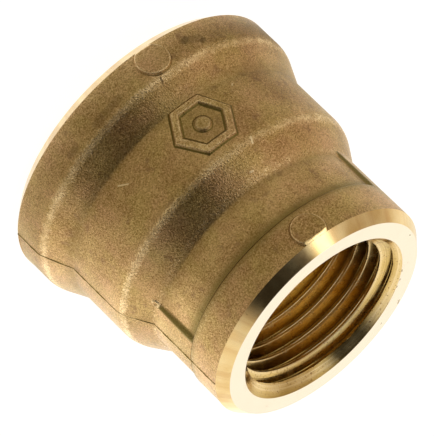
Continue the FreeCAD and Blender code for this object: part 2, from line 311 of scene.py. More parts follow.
def thread_tree():
    """A closed sleeve with a right-hand pipe thread inside; its rows run along the thread."""
    tree, add, given = geometry_tree("threaded_sleeve", {
        "Steps Round": THREAD_STEPS,
        "Steps Per Turn": PITCH_STEPS,
        "Crest Radius": SMALL_CREST * MM,
        "Thread Height": THREAD_HEIGHT * MM,
        "Pitch": PITCH * MM,
        "Flat": THREAD_FLAT * MM,
        "Groove Start": 0.0,
        "Low End": 0.0,
        "High End": 0.01,
        "Mouth At Top": 1.0,
        "Mouth Radius": SMALL_MOUTH * MM,
        "Back Radius": SMALL_SLEEVE * MM,
        "Chatter": 0.006 * MM,
        "Sharp Angle": radians(24),
        "Material": None,
    })
    crest, pitch = given["Crest Radius"], given["Pitch"]
    low_end, high_end, at_top = given["Low End"], given["High End"], given["Mouth At Top"]
    turns = add.plus(add.math("CEIL", add.over(add.minus(high_end, low_end), pitch)), 2.0)
    rows = add.plus(add.times(turns, given["Steps Per Turn"]), 5.0)
    sleeve, row, turn = wrapped_grid(add, given["Steps Round"], rows)
    angle = add.times(turn, tau)

    # Height of a row: it starts below the low end and climbs one pitch in each turn.
    step = add.over(row, given["Steps Per Turn"])
    climb = add.times(add.minus(add.plus(step, turn), 1.5), pitch)
    free_height = add.plus(low_end, climb)
    height = add.held(free_height, low_end, high_end)

    # Distance from the middle of the nearest groove, and how deep the thread is there.
    rise = add.minus(add.minus(free_height, given["Groove Start"]), add.times(turn, pitch))
    phase = add.math("FLOORED_MODULO", add.plus(add.over(rise, pitch), 0.5), 1.0)
    away = add.times(add.size(add.minus(phase, 0.5)), pitch)
    half_flat = add.times(given["Flat"], 0.5)
    flank_length = add.minus(add.minus(add.times(pitch, 0.5), half_flat), half_flat)
    flank = add.over(add.minus(away, half_flat), flank_length)
    groove = add.minus(1.0, add.held(flank, 0.0, 1.0))
    noise = add.noise(radial_position(add, crest, angle, height), 900.0)
    chatter = add.times(add.minus(noise, 0.5), given["Chatter"])
    depth = add.plus(add.times(groove, given["Thread Height"]), chatter)

    # The mouth's 45 degree chamfer, and the far end, which stops square at the thread's root.
    from_top = add.minus(high_end, height)
    from_low = add.minus(height, low_end)
    from_mouth = add.mix(at_top, from_low, from_top)
    from_back = add.mix(at_top, from_top, from_low)
    chamfer = add.minus(given["Mouth Radius"], from_mouth)
    root = add.plus(add.plus(crest, given["Thread Height"]), ROOT_ROOM * MM)
    opened = add.math("MAXIMUM", add.plus(crest, depth), chamfer)
    inner = add.chosen(add.below(from_back, 0.001 * MM), opened, root)

    # The last rows close the sleeve: out along one face, down the back and in along the other.
    to_last = add.minus(add.minus(rows, 1.0), row)
    on_back = add.below(to_last, 2.5)
    first_radius = add.mix(at_top, given["Mouth Radius"], root)
    radius = add.chosen(on_back, inner, given["Back Radius"])
    radius = add.chosen(add.below(to_last, 0.5), radius, first_radius)
    level = add.chosen(on_back, height, high_end)
    level = add.chosen(add.below(to_last, 1.5), level, low_end)
    place = radial_position(add, radius, angle, level)
    # A painted highlight on each crest's corners, kept as the edge attribute.
    corner = add.ramp(add.size(add.minus(flank, 0.98)), 0.0, 0.07, 1.0, 0.0)
    for title, value in (("edge", corner), ("root", groove), ("across", rise)):
        sleeve = stored(add, sleeve, title, value)
    sleeve = add("GeometryNodeSetPosition", sleeve, None, place).outputs[0]
    flipped = add("GeometryNodeFlipFaces", sleeve).outputs[0]
    finish_tree(add, flipped, given["Material"], given["Sharp Angle"])
    return tree


def cast_skin_tree():
    """Moves cast faces a little, as a casting's are: low waves and the offset of the mould half."""
    tree, add, given = geometry_tree("cast_skin", {
        "Wave Height": 0.05 * MM,
        "Waves Per Metre": 170.0,
        "Ripple Height": 0.012 * MM,
        "Ripples Per Metre": 900.0,
        "Mould Offset": 0.07 * MM,
        "Seed": 5.0,
    })
    position = add("GeometryNodeInputPosition").outputs[0]
    outward = add.vector("NORMALIZE", across_axis(add, position))
    moved = 0.0
    for height, scale in (("Wave Height", "Waves Per Metre"), ("Ripple Height", "Ripples Per Metre")):
        noise = add("ShaderNodeTexNoise", position, given["Seed"], noise_dimensions="4D",
                    Scale=given[scale], Detail=1.0).outputs[0]
        moved = add.plus(moved, add.times(add.minus(noise, 0.5), given[height]))
    other_half = add.ramp(add.axis(position, "Y"), -0.04 * MM, 0.04 * MM)
    moved = add.minus(moved, add.times(other_half, given["Mould Offset"]))
    skin = add("GeometryNodeInputNamedAttribute", "skin", data_type="FLOAT").outputs[0]
    offset = add.vector("SCALE", outward, Scale=add.times(moved, skin))
    made = add("GeometryNodeSetPosition", given["Geometry"], None, None, offset).outputs[0]
    add("NodeGroupOutput", made)
    return tree


# --- Making a piece ---


def applied(obj, tree, **inputs):
    """Runs a geometry tree on an object and keeps the result as its plain mesh."""
    modifier = obj.modifiers.new(tree.name, "NODES")
    modifier.node_group = tree
    for title, value in inputs.items():
        wanted = title.replace("_", " ")
        socket = next(s for s in tree.interface.items_tree
                      if s.name == wanted and s.in_out == "INPUT")
        modifier[socket.identifier] = value
    obj.update_tag()
    bpy.context.view_layer.update()
    evaluated = obj.evaluated_get(bpy.context.evaluated_depsgraph_get())
    mesh = bpy.data.meshes.new_from_object(evaluated)
    mesh.name = obj.name
    obj.modifiers.remove(modifier)
    obj.data = mesh


def in_scene(name, data):
    """An object with this data, in the scene."""
    obj = bpy.data.objects.new(name, data)
    bpy.context.scene.collection.objects.link(obj)
    return obj


def new_object(name, points, edges=(), faces=()):
    """An object at the origin with a plain mesh; points are in millimetres."""
    mesh = bpy.data.meshes.new(name)
    mesh.from_pydata([Vector(point) * MM for point in points], edges, faces)
    return in_scene(name, mesh)


def write_attribute(obj, title, values):
    """Stores one number for each vertex."""
    attribute = obj.data.attributes.new(title, "FLOAT", "POINT")
    attribute.data.foreach_set("value", values)


def place_piece(obj, node):
    """The piece rides on the one body and stands for its CAD node, which it hides."""
    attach(obj, "root")
    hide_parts(node)


# --- The casting's outside ---

# Corners of the outside, from the large face to the small face: radius, height, rounding.
OUTSIDE = [
    (LARGE_COLLAR - LARGE_CHAMFER, 0.0, 0.0),
    (LARGE_COLLAR, LARGE_CHAMFER, 0.0),
    (LARGE_COLLAR, COLLAR_LAND, 2.0),
    (LARGE_BARREL, COLLAR_FOOT, 0.8),
    (LARGE_BARREL, SHOULDER_TOP, 3.0),
    (SMALL_BARREL, SHOULDER_FOOT, 0.9),
    (SMALL_BARREL, STEP_FOOT, 0.0),
    (SMALL_COLLAR, STEP_FOOT + STEP_RISE, 0.25),
    (SMALL_COLLAR, SMALL_EDGE, 0.0),
    (SMALL_COLLAR - SMALL_CHAMFER_WIDTH, LENGTH, 0.0),
]
# Worn rings: radius, height, how bright the ring is rubbed and painted with a highlight, how much dark
# scale it keeps.
WORN_AND_HIGHLIT = [
    (LARGE_COLLAR - 0.15, COLLAR_LAND + 0.5, 1.08, 0.0),
    (LARGE_BARREL + 0.10, COLLAR_FOOT - 0.3, 0.35, 0.40),
    (LARGE_BARREL - 0.15, SHOULDER_TOP + 0.3, 1.03, 0.0),
    (SMALL_BARREL + 0.25, SHOULDER_FOOT - 0.5, 0.65, 0.0),
    (SMALL_BARREL, SHOULDER_FOOT + 0.2, 0.0, 0.30),
    (SMALL_BARREL, STEP_FOOT, 0.0, 0.9),
    (SMALL_COLLAR, STEP_FOOT + 0.7, 0.5, 0.0),
]
RUBBED_AND_HIGHLIT, SCALED = 2, 3     # columns of WORN_AND_HIGHLIT
RUB_AND_HIGHLIGHT_WIDTH = 0.7
SCALE_WIDTH = 0.75


def bell(distance, width):
    """1 at no distance, fading to nothing over a few widths."""
    return exp(-(distance / width) ** 2)


def smooth(value):
    """A smooth step from 0 to 1."""
    value = min(1.0, max(0.0, value))
    return value * value * (3 - 2 * value)


def evenly(start, end, count):
    """Numbers from start to end."""
    return [start + (end - start) * number / count for number in range(count + 1)]


def stepped(corners, step):
    """An open outline with its sides stepped evenly."""
    corners = [Vector(corner) for corner in corners]
    line = []
    for start, end in zip(corners, corners[1:]):
        count = max(1, ceil((end - start).length / step))
        line += [start.lerp(end, number / count) for number in range(count)]
    return line + corners[-1:]


def rounded_line(corners, step):
    """Points along an open outline, each corner rounded by an arc and the rest stepped evenly."""
    points = [Vector(corners[0][:2])]
    for before, corner, after in zip(corners, corners[1:], corners[2:]):
        here = Vector(corner[:2])
        rounding = corner[2]
        if rounding <= 0:
            points.append(here)
            continue
        back = (Vector(before[:2]) - here).normalized()
        ahead = (Vector(after[:2]) - here).normalized()
        half = back.angle(ahead) / 2
        centre = here + (back + ahead).normalized() * rounding / sin(half)
        tangent = rounding / tan(half)
        start = here + back * tangent - centre
        sweep = start.angle_signed(here + ahead * tangent - centre)
        count = max(3, ceil(abs(sweep) * rounding / step * 1.5))
        for turn in evenly(0.0, -sweep, count):
            spoke = Vector((start.x * cos(turn) - start.y * sin(turn),
                            start.x * sin(turn) + start.y * cos(turn)))
            points.append(centre + spoke)
    points.append(Vector(corners[-1][:2]))
    return stepped(points, step)


OUTSIDE_LINE = rounded_line(OUTSIDE, SURFACE_STEP)


def outside_radius(height):
    """Radius of the casting's outside at a height."""
    for start, end in zip(OUTSIDE_LINE, OUTSIDE_LINE[1:]):
        if start.y <= height <= end.y and end.y > start.y:
            return start.x + (end.x - start.x) * (height - start.y) / (end.y - start.y)
    return OUTSIDE_LINE[-1].x


def outside_between(start, end):
    """The outside from one height to another."""
    inner = [point for point in OUTSIDE_LINE if start + 1e-4 < point.y < end - 1e-4]
    first = Vector((outside_radius(start + 1e-6), start))
    last = Vector((outside_radius(end - 1e-6), end))
    return [first, *inner, last]


def marked(point, column, width):
    """How near a point of the outside is to the rings that a column of WORN_AND_HIGHLIT marks."""
    return max(ring[column] * bell((point - Vector(ring[:2])).length, width) for ring in WORN_AND_HIGHLIT)


def turned_piece(name, node, line, inside, material, skin):
    """A closed ring: the outside line going up, then the inside corners, turned about Z."""
    back = stepped([line[-1], *inside, line[0]], INSIDE_STEP)[1:-1]
    points = line + back
    count = len(points)
    obj = new_object(name, [(point.x, 0, point.y) for point in points],
                     [(number, (number + 1) % count) for number in range(count)])
    # The edge rings give rubbed metal with a painted highlight; the root rings give dark scale.
    for title, values in (("skin", [skin] * len(line)),
                          ("edge", [marked(point, RUBBED_AND_HIGHLIT, RUB_AND_HIGHLIGHT_WIDTH) for point in line]),
                          ("root", [marked(point, SCALED, SCALE_WIDTH) for point in line])):
        write_attribute(obj, title, values + [0.0] * len(back))
    applied(obj, TURNED, Points=count, Material=material)
    if skin:
        applied(obj, CAST_SKIN)
    place_piece(obj, node)


# --- Cast details ---


def on_cylinder(radius, angle, height):
    """A point by radius, angle in degrees and height, in millimetres."""
    turn = radians(angle)
    return (radius * cos(turn), radius * sin(turn), height)


def grid_faces(rows, columns, ring=False, loop=False):
    """Faces of a grid of points, row by row. A ring joins its columns' ends, a loop its rows'."""
    faces = []
    for row in range(rows if loop else rows - 1):
        above = (row + 1) % rows
        for column in range(columns if ring else columns - 1):
            beside = (column + 1) % columns
            faces.append((row * columns + column, row * columns + beside,
                          above * columns + beside, above * columns + column))
    return faces


def face_outward(obj, weld=0.0):
    """Merges points that nearly meet, where asked, and turns every face outward."""
    mesh = bmesh.new()
    mesh.from_mesh(obj.data)
    if weld:
        bmesh.ops.remove_doubles(mesh, verts=mesh.verts, dist=weld * MM)
    bmesh.ops.recalc_face_normals(mesh, faces=mesh.faces)
    mesh.to_mesh(obj.data)
    mesh.free()


def finish_detail(obj, node, wear_and_painted_light):
    """Gives a detail the casting's waves and material; the last argument gives, for its points, how
    bright their bare metal and painted highlight are, then how dark their scale and painted shade are.
    """
    count = len(obj.data.vertices)
    wear_and_painted_light = wear_and_painted_light + [(0.0, 0.0)] * (count - len(wear_and_painted_light))
    write_attribute(obj, "skin", [1.0] * count)
    write_attribute(obj, "edge", [rubbed_and_highlit for rubbed_and_highlit, scale in wear_and_painted_light])
    write_attribute(obj, "root", [scale for rubbed_and_highlit, scale in wear_and_painted_light])
    obj.data.polygons.foreach_set("use_smooth", [True] * len(obj.data.polygons))
    if not obj.data.materials:
        obj.data.materials.append(CAST_BRASS)
    applied(obj, CAST_SKIN)
    place_piece(obj, node)


def relief(name, node, angles, heights, rise, wear_and_painted_light):
    """A closed patch on the casting. rise(angle, height) is how far it stands out; the last argument
    gives how bright its bare metal and painted highlight are, and how dark its scale and painted shade
    are."""
    spots = [(angle, z) for z in heights for angle in angles]
    top = [on_cylinder(outside_radius(z) + rise(angle, z), angle, z) for angle, z in spots]
    floor = [on_cylinder(outside_radius(z) - SINK, angle, z) for angle, z in spots]
    columns, count = len(angles), len(spots)
    faces = grid_faces(len(heights), columns)
    faces += [tuple(count + corner for corner in face[::-1]) for face in faces]
    rim = [*range(columns), *range(2 * columns - 1, count, columns),
           *range(count - 2, count - columns - 1, -1), *range(count - 2 * columns, 0, -columns)]
    for here, beside in zip(rim, rim[1:] + rim[:1]):
        faces.append((beside, here, count + here, count + beside))
    obj = new_object(name, top + floor, [], faces)
    finish_detail(obj, node, [wear_and_painted_light(angle, z) for angle, z in spots])


RIB_WIDTH = 29.0          # degrees, as are the flanks
RIB_LONG_FLANK = 3.6
RIB_SHORT_FLANK = 1.2
RIB_COLUMNS = 160
RIB_ROWS = 76
BURR_RADIUS = 0.32
BURR_HEIGHT = 0.2


def grip_rib(name, node, start, long_flank_first, burr):
    """A lengthwise rib as high as the small collar, one flank long. burr is the place of a torn
    burr, as degrees past the rib's start and a height, or None."""
    end = start + RIB_WIDTH
    flanks = (RIB_LONG_FLANK, RIB_SHORT_FLANK)
    first, last = flanks if long_flank_first else flanks[::-1]

    def from_burr(angle, z):
        return hypot(radians(angle - start - burr[0]) * SMALL_BARREL, z - burr[1])

    def rise(angle, z):
        full = SMALL_COLLAR - outside_radius(z)
        across = smooth((angle - start) / first) * smooth((end - angle) / last)
        lip = BURR_HEIGHT * bell(from_burr(angle, z) - BURR_RADIUS, 0.1) if burr else 0.0
        return max(-0.05, full * across + lip - 0.01)

    def wear_and_painted_light(angle, z):
        """The long flank gets a painted highlight at its top and painted shade at its foot, more so
        near the collar.
        """
        side = (angle - start) / first if long_flank_first else (end - angle) / last
        rubbed_and_highlit = 0.6 * bell(side - 1.12, 0.12)
        reach = 0.10 + 0.30 * smooth((z - SHOULDER_FOOT + 1.0) / 6.0)
        scale = 1.15 * (1.0 - smooth((abs(side - 0.62) - reach * 0.4) / (reach + 0.3)))
        # The burr: a bright ring round its lip, bare metal with a painted highlight, and painted shade
        # in its hole.
        if burr:
            away = from_burr(angle, z)
            rubbed_and_highlit = max(rubbed_and_highlit, 3.0 * bell(away - BURR_RADIUS - 0.04, 0.16))
            scale = max(scale * smooth((away - 0.4) / 0.2), 1.8 * bell(away, 0.19))
        return rubbed_and_highlit, scale * smooth((z - SHOULDER_FOOT + 1.2) / 0.6)

    angles = evenly(start - 0.6, end + 0.3, RIB_COLUMNS)
    heights = evenly(SHOULDER_FOOT - 1.2, STEP_FOOT + STEP_RISE, RIB_ROWS)
    relief(name, node, angles, heights, rise, wear_and_painted_light)


SEAM_WIDTH = 0.3
SEAM_HEIGHT = 0.12
SEAM_COLUMNS = 18
SEAM_FAINT = 16.5         # the height where the seam nearly fades
RIB_GAP = (19.6, 21.6)    # heights of the dark gap at the rib's end


def parting_seam(name, node, middle, over_rib):
    """The ridge of flash where the mould halves met, uneven along its length."""
    reach = degrees(SEAM_WIDTH / SMALL_BARREL)

    def rise(angle, z):
        under = max(0.0, SMALL_COLLAR - outside_radius(z)) if over_rib else 0.0
        across = max(0.0, 1 - abs(angle - middle) / (reach * 0.5))
        uneven = 0.75 + 0.15 * sin(2.1 * z + middle) + 0.1 * sin(5.7 * z)
        faint = 1 - 0.75 * bell(z - SEAM_FAINT, 1.4)
        return under + SEAM_HEIGHT * uneven * faint * smooth(across) - 0.02

    def wear_and_painted_light(angle, z):
        """One side gets a painted highlight and the other painted shade, most where the rib's end
        leaves a gap.
        """
        beside = (angle - middle) / reach
        gap = smooth((z - RIB_GAP[0]) / 0.3) * smooth((RIB_GAP[1] - z) / 0.6) if over_rib else 0.0
        return 2.0 * bell(beside - 0.16, 0.2), 1.5 * bell(beside + 0.28, 0.15 + 0.2 * gap)

    angles = evenly(middle - reach * 0.6, middle + reach * 0.6, SEAM_COLUMNS)
    heights = [point.y for point in outside_between(LARGE_CHAMFER, SMALL_EDGE)]
    relief(name, node, angles, heights, rise, wear_and_painted_light)


MARKED_SIDE = -90.0       # degrees from +X towards +Y
PAD_RADIUS = 2.0
PAD_HEIGHT = 0.3
PAD_RIM = 1.84            # where the rim is rubbed bright and painted with a highlight
PAD_FOOT = 2.05           # where scale stays round the pad
PAD_RINGS = [*evenly(0.0, 1.6, 16), 1.66, 1.71, 1.76, 1.8, 1.84, 1.88, 1.92, 1.96, 2.0, 2.08]
PAD_STEPS = 160


def ejector_pad(name, node, collar, level):
    """A round pad that an ejector pin left, cut by the machined chamfer where it meets one."""
    slope = SMALL_CHAMFER_WIDTH / SMALL_CHAMFER

    def cut_radius(z):
        """Radius of the chamfer beside the pad at a height."""
        if level > STEP_FOOT:
            return SMALL_COLLAR + (SMALL_EDGE - z) * slope
        return LARGE_COLLAR + z - LARGE_CHAMFER

    def spot(distance, number):
        """Angle and height of a point of a ring about the pad's middle."""
        turn = tau * number / PAD_STEPS
        z = min(max(level + distance * sin(turn), LARGE_CHAMFER), SMALL_EDGE)
        return MARKED_SIDE + degrees(distance * cos(turn) / collar), z

    points = []
    for distance in PAD_RINGS:
        rim = smooth((PAD_RADIUS + 0.05 - distance) / 0.22)
        hollow = 0.05 * smooth((1.7 - distance) / 0.5)
        radius = collar + PAD_HEIGHT * rim - hollow - 0.02
        for number in range(PAD_STEPS):
            angle, z = spot(distance, number)
            points.append(on_cylinder(min(radius, cut_radius(z)), angle, z))
    points += [on_cylinder(collar - SINK, *spot(PAD_RADIUS, number)) for number in range(PAD_STEPS)]
    last = len(PAD_RINGS) * PAD_STEPS
    faces = grid_faces(len(PAD_RINGS) + 1, PAD_STEPS, ring=True)
    faces.append(tuple(range(last, last + PAD_STEPS)))
    obj = new_object(name, points, [], faces)
    face_outward(obj, WELD)
    obj.data.materials.append(CAST_BRASS)
    obj.data.materials.append(TURNED_BRASS)
    for polygon in obj.data.polygons:
        middle = polygon.center / MM
        polygon.material_index = int(abs(middle.xy.length - cut_radius(middle.z)) < 0.02)
    # The rim is rubbed bright and painted with a highlight; scale stays round the foot.
    wear_and_painted_light = []
    for vertex in obj.data.vertices:
        side = (atan2(vertex.co.y, vertex.co.x) + pi / 2) * collar
        distance = hypot(side, vertex.co.z / MM - level)
        wear_and_painted_light.append((1.2 * bell(distance - PAD_RIM, 0.11), 0.8 * bell(distance - PAD_FOOT, 0.08)))
    finish_detail(obj, node, wear_and_painted_light)


EMBLEM_HEIGHT = 0.3
EMBLEM_TURN = 2.0
EMBLEM_LEVEL = 11.75
EMBLEM_CORNER = 3.8       # from the mark's middle to the ring's outer corners
EMBLEM_HOLE = 2.6         # from the middle to its inner corners
EMBLEM_STEP = 0.191       # length of a step along the edge
# The ring's rounded side: how far in from its edge, how high.
EMBLEM_SIDE = [(-0.24, -0.04), (-0.1, 0.03), (0.0, 0.08), (0.07, 0.16), (0.13, 0.24),
               (0.22, 0.29), (0.36, EMBLEM_HEIGHT)]
# The dot: radius, how high.
EMBLEM_DOT = [(1.1, -SINK), (1.18, -0.03), (1.06, 0.02), (0.95, 0.11), (0.84, 0.21),
              (0.7, 0.28), (0.5, EMBLEM_HEIGHT), (0.15, EMBLEM_HEIGHT)]
DOT_STEPS = 40


def emblem_highlights_and_scale(rise):
    """The mark's edges, and less its top, get a painted highlight, and scale stays at its foot."""
    rubbed_and_highlit = 0.0 if rise <= 0.2 else 1.0 if rise < EMBLEM_HEIGHT else 0.62
    return rubbed_and_highlit, (1.3 if -0.05 < rise < 0.1 else 0.0)


def emblem_point(spot, rise):
    """A point of the mark, from its place across the mark and how far it stands out."""
    angle = MARKED_SIDE + EMBLEM_TURN + degrees(spot.x / LARGE_BARREL)
    return on_cylinder(LARGE_BARREL + rise, angle, EMBLEM_LEVEL + spot.y)


def round_points(radius, count):
    """Points evenly round a circle."""
    return [Vector((radius * cos(tau * number / count),
                    radius * sin(tau * number / count))) for number in range(count)]


def raised_emblem(name, node):
    """A plain mark: a hexagonal ring with a round dot in it."""
    corners = round_points(EMBLEM_CORNER, 6)
    edge = stepped(corners + corners[:1], EMBLEM_STEP)[:-1]
    flat = cos(radians(30))
    width = (EMBLEM_CORNER - EMBLEM_HOLE) * flat
    section = [*EMBLEM_SIDE, (width / 2, EMBLEM_HEIGHT)]
    section += [(width - offset, rise) for offset, rise in reversed(EMBLEM_SIDE)]
    section += [(width + 0.1, -SINK), (-0.1, -SINK)]
    ring = [(spot * (1 - offset / (EMBLEM_CORNER * flat)), rise)
            for spot in edge for offset, rise in section]
    dot = [(spot, rise) for radius, rise in EMBLEM_DOT for spot in round_points(radius, DOT_STEPS)]
    faces = grid_faces(len(edge), len(section), ring=True, loop=True)
    start = len(ring)
    top = start + len(dot) - DOT_STEPS
    faces += [tuple(start + corner for corner in face)
              for face in grid_faces(len(EMBLEM_DOT), DOT_STEPS, ring=True)]
    faces += [tuple(range(start, start + DOT_STEPS)), tuple(range(top, top + DOT_STEPS))]
    obj = new_object(name, [emblem_point(spot, rise) for spot, rise in ring + dot], [], faces)
    face_outward(obj)
    finish_detail(obj, node, [emblem_highlights_and_scale(rise) for spot, rise in ring + dot])


# --- Materials ---

BRIGHT_METAL = (1.0, 0.82, 0.52)
# Rubbed bare metal, also used as the painted highlight on the casting's edges.
RUBBED_METAL_AND_HIGHLIGHT = (1.0, 0.76, 0.43)
DARK_SCALE = (0.10, 0.06, 0.02)
OLIVE_SCALE = (0.27, 0.20, 0.06)
# Dark scale in roots, and also painted shade on the rib's flank, in the seam's gap and in the burr's
# hole.
ROOT_SCALE_AND_SHADE = (0.21, 0.16, 0.045)
BROWN_STAIN = (0.27, 0.15, 0.075)
CAST_TONES = [(0.2, (0.29, 0.175, 0.06)), (0.5, (0.56, 0.37, 0.165)), (0.8, (0.84, 0.60, 0.32))]
CAST_HUES = [(0.35, (0.98, 1.02, 0.88)), (0.65, (1.0, 0.935, 0.97))]
TURNED_TONES = [(0.3, (0.85, 0.62, 0.28)), (0.65, (0.97, 0.79, 0.44))]
TURNED_STREAK = (0.70, 0.44, 0.19)
TURNED_SPECK = (0.45, 0.31, 0.13)
# Painted highlight on the flat end faces.
FACE_HIGHLIGHT = (0.96, 0.82, 0.60)
FACE_SPECK = (0.35, 0.24, 0.11)
THREAD_TONES = [(0.0, (0.58, 0.42, 0.14)), (0.45, (0.73, 0.54, 0.22)), (0.9, (0.92, 0.74, 0.40))]
THREAD_SPECK = (0.32, 0.18, 0.06)
# Painted highlight on the thread's crests.
THREAD_CREST_HIGHLIGHT = (0.97, 0.80, 0.48)

# Small marks on the casting: start and end as radius, angle and height; width; tint; strength.
MARKS = [
    ((LARGE_BARREL, -88.0, 11.7), (LARGE_BARREL, -88.0, 11.8), 1.6, OLIVE_SCALE, 0.3),
    ((LARGE_COLLAR, -110.0, 3.4), (LARGE_COLLAR, -104.0, 3.0), 0.35, DARK_SCALE, 0.3),
    ((LARGE_COLLAR, -72.0, 4.0), (LARGE_COLLAR, -60.0, 4.2), 0.3, DARK_SCALE, 0.25),
    ((LARGE_COLLAR, -87.6, 5.1), (LARGE_BARREL, -85.3, 7.1), 0.09, DARK_SCALE, 0.75),
    ((15.80, -98.3, 16.1), (15.60, -97.5, 16.7), 0.07, BRIGHT_METAL, 1.0),
    ((LARGE_BARREL, -96.6, 16.3), (LARGE_BARREL, -96.3, 17.0), 0.1, DARK_SCALE, 0.7),
    ((LARGE_BARREL, -48.5, 9.86), (LARGE_BARREL, -51.8, 10.67), 0.05, BRIGHT_METAL, 0.8),
    ((LARGE_BARREL, -110.4, 9.3), (LARGE_BARREL, -109.6, 9.5), 0.06, BRIGHT_METAL, 0.7),
    ((14.30, -91.2, 18.80), (14.30, -89.8, 18.75), 0.07, BRIGHT_METAL, 0.8),
    ((LARGE_COLLAR, -105.5, 2.8), (LARGE_COLLAR, -103.8, 3.1), 0.22, DARK_SCALE, 0.45),
    ((LARGE_COLLAR, -111.0, 3.8), (LARGE_COLLAR, -109.6, 4.0), 0.18, DARK_SCALE, 0.45),
    ((LARGE_COLLAR, -48.9, 4.2), (LARGE_COLLAR, -46.0, 4.0), 0.25, DARK_SCALE, 0.3),
]
# Specks on the small end's face: start and end as radius and angle; width.
FACE_SPECKS = [
    ((10.98, -187.5), (11.02, -189.0), 0.07),
    ((11.05, -195.5), (11.05, -196.5), 0.06),
    ((10.98, -201.0), (11.00, -202.0), 0.06),
    ((12.65, -213.5), (12.80, -215.5), 0.08),
    ((12.10, -228.0), (12.15, -228.6), 0.05),
    ((12.60, -160.0), (12.62, -160.8), 0.05),
]


def new_material(name):
    """An empty material, its node adder and the place on the piece."""
    material = bpy.data.materials.new(name)
    material.use_nodes = True
    material.node_tree.nodes.clear()
    add = Nodes(material.node_tree)
    return material, add, add("ShaderNodeTexCoord").outputs["Object"]


def surfaced(add, **inputs):
    """Ends a material's tree with its surface; inputs are the surface's."""
    surface = add("ShaderNodeBsdfPrincipled", **inputs)
    add("ShaderNodeOutputMaterial", surface.outputs[0])


def colours(add, value, stops):
    """A colour ramp: stops are (place, colour)."""
    ramp = add("ShaderNodeValToRGB", value)
    elements = ramp.color_ramp.elements
    while len(elements) < len(stops):
        elements.new(0.5)
    for element, (place, colour) in zip(elements, stops):
        element.position = place
        element.color = (*colour, 1.0)
    return ramp.outputs[0]


def blended(add, factor, first, second, kind="MIX"):
    """Two colours mixed by a factor."""
    node = add("ShaderNodeMix", data_type="RGBA", blend_type=kind, Factor=factor, A=first, B=second)
    node.clamp_factor = True
    return live(node.outputs)


def bumped(add, height, distance, strength, normal=None):
    """The normal after a bump."""
    return add("ShaderNodeBump", Strength=strength, Distance=distance * MM, Height=height,
               Normal=normal).outputs[0]


def attribute(add, title):
    """A number stored on the mesh."""
    return add("ShaderNodeAttribute", attribute_name=title).outputs["Fac"]


def scratched(add, place, start, end, width):
    """How close a place is to a short straight mark: 1 on it, 0 beyond twice its width."""
    start, end = (Vector(on_cylinder(*point)) * MM for point in (start, end))
    along = end - start
    offset = add.vector("SUBTRACT", place, tuple(start))
    part = add.vector("DOT_PRODUCT", offset, tuple(along / along.length_squared))
    nearest = add.vector("SCALE", tuple(along), Scale=add.held(part, 0.0, 1.0))
    return add.ramp(add.vector("DISTANCE", offset, nearest), width * MM, width * 2 * MM, 1.0, 0.0)


def cast_brass():
    """Shot-blasted cast brass: dull brown gold, grainy, bright on edges as bare metal with painted
    highlights and glints, dark in roots, with painted shade beside some details.
    """
    material, add, place = new_material("cast_brass_skin")
    blotch = add.noise(place, 190.0, detail=3.0)
    tarnish = add.noise(place, 260.0, detail=3.0, roughness=0.6)
    stain = add.noise(place, 620.0, detail=4.0, roughness=0.65)
    flecks = add.noise(place, 4200.0, detail=3.0, roughness=0.75)
    mottle = add.noise(place, 5400.0, detail=2.0, roughness=0.6)
    grain = add.noise(place, 9200.0, detail=1.0, roughness=0.7)
    pits = add("ShaderNodeTexVoronoi", place, Scale=5200.0, feature="SMOOTH_F1").outputs["Distance"]
    edge, root = attribute(add, "edge"), attribute(add, "root")

    tone = add.math("MULTIPLY_ADD", blotch, 0.6, 0.2)
    tone = add.swayed(tone, add.plus(mottle, grain), 1.05, middle=1.0)
    body, hue = colours(add, tone, CAST_TONES), colours(add, tarnish, CAST_HUES)
    body = blended(add, 1.0, body, hue, "MULTIPLY")
    body = blended(add, add.ramp(stain, 0.58, 0.70, 0.0, 0.55), body, BROWN_STAIN)

    # Rubbed metal and painted highlights: a broken line on each edge and painted glints beside it, worn
    # off in patches.
    line = add.times(add.math("POWER", edge, 6.0), add.ramp(flecks, 0.38, 0.56, 0.15, 0.9))
    sparkle = add.math("MULTIPLY_ADD", flecks, 6.0, -3.0)
    glints = add.ramp(add.plus(edge, sparkle), 0.82, 1.08)
    glints = add.times(glints, add.ramp(edge, 0.15, 0.75))
    patchy = add.times(add.ramp(stain, 0.40, 0.58, 0.45, 1.0), add.ramp(blotch, 0.40, 0.56, 0.6, 1.0))
    rubbed_and_highlit = add.times(add.math("MAXIMUM", line, glints), patchy, clamp=True)
    body = blended(add, rubbed_and_highlit, body, RUBBED_METAL_AND_HIGHLIGHT)
    for start, end, width, tint, strength in MARKS:
        scratch = scratched(add, place, start, end, width)
        body = blended(add, add.times(scratch, strength), body, tint)
    # Dark scale in the roots, and painted shade where the rib's flank, the seam's gap and the burr's
    # hole are marked.
    scaled_and_shaded = add.times(root, add.ramp(mottle, 0.25, 0.65, 0.6, 0.95), clamp=True)
    body = blended(add, scaled_and_shaded, body, ROOT_SCALE_AND_SHADE)

    rough = add.minus(add.ramp(grain, 0.3, 0.7, 0.3, 0.44), add.times(rubbed_and_highlit, 0.12))
    waves = bumped(add, mottle, 0.035, 0.7)
    dimples = bumped(add, pits, 0.035, 0.6, waves)
    grainy = bumped(add, grain, 0.05, 0.8, dimples)
    torn = add.times(flecks, add.ramp(edge, 0.5, 1.0))
    normal = bumped(add, torn, 0.07, 0.9, grainy)
    surfaced(add, Base_Color=body, Metallic=1.0, Roughness=rough, Normal=normal)
    return material


